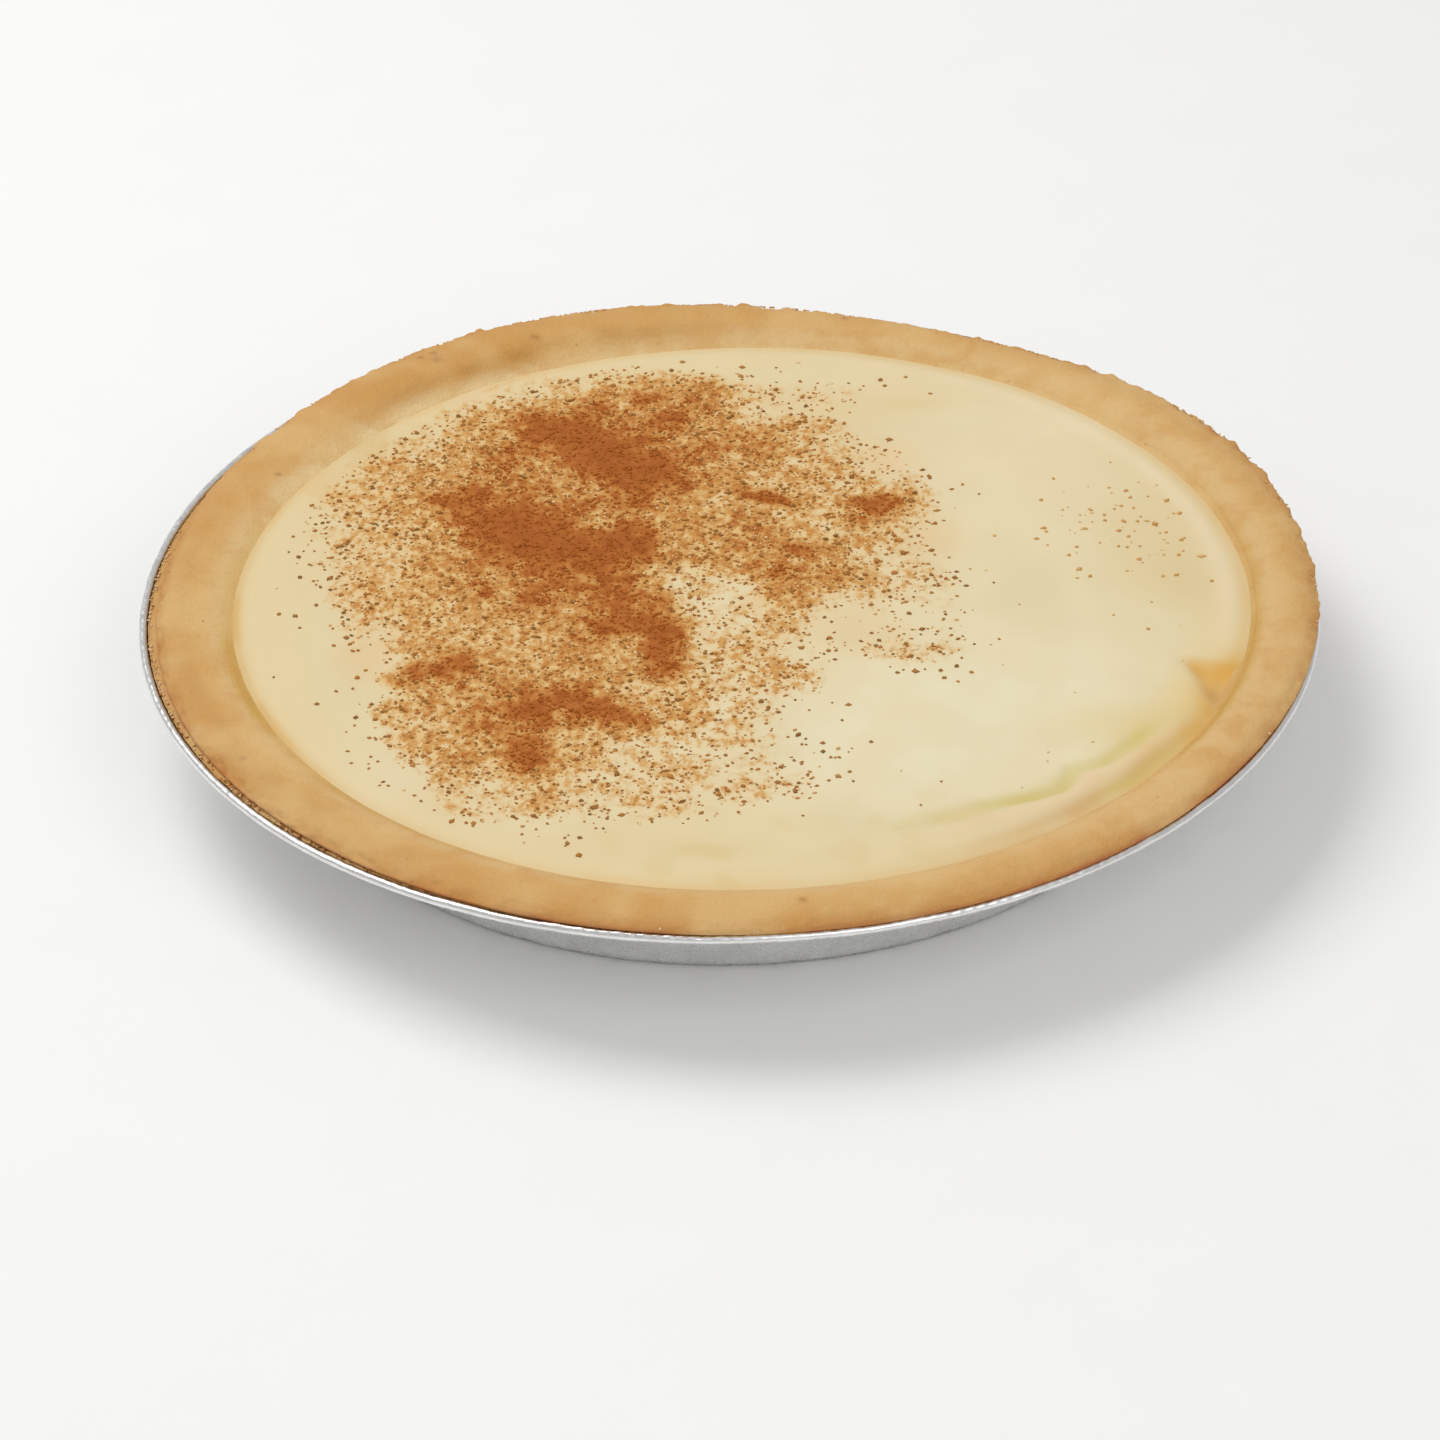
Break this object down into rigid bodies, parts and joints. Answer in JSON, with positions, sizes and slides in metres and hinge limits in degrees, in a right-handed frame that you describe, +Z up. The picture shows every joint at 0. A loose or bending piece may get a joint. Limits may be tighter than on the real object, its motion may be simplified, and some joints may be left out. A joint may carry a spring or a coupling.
{
  "type": "milk tart",
  "caption": "Round baked custard tart in a shallow foil tin: wide plain shortcrust rim, smooth pale custard top, and ground cinnamon shaken unevenly over one side.",
  "frame": {"origin": "centre of the tin's base, on the surface that the tin stands on", "axes": "+Z up out of the tart, +X to its right and -Y to its front, where the loose fold in the custard's skin starts"},
  "size_m": [0.2208, 0.2207, 0.0286],
  "materials": {
    "foil": "bright thin foil, pleated and slightly creased",
    "pastry": "baked shortcrust, matt and fine-grained, pale gold with a toasted edge",
    "custard": "set milk custard with a satin cream skin, dusted with ground cinnamon",
    "cinnamon": "ground cinnamon, a dry reddish-brown powder with coarser grains"
  },
  "bodies": {
    "root": {"foil_tin": "foil", "crust": "pastry", "custard": "custard"}
  },
  "joints": []
}
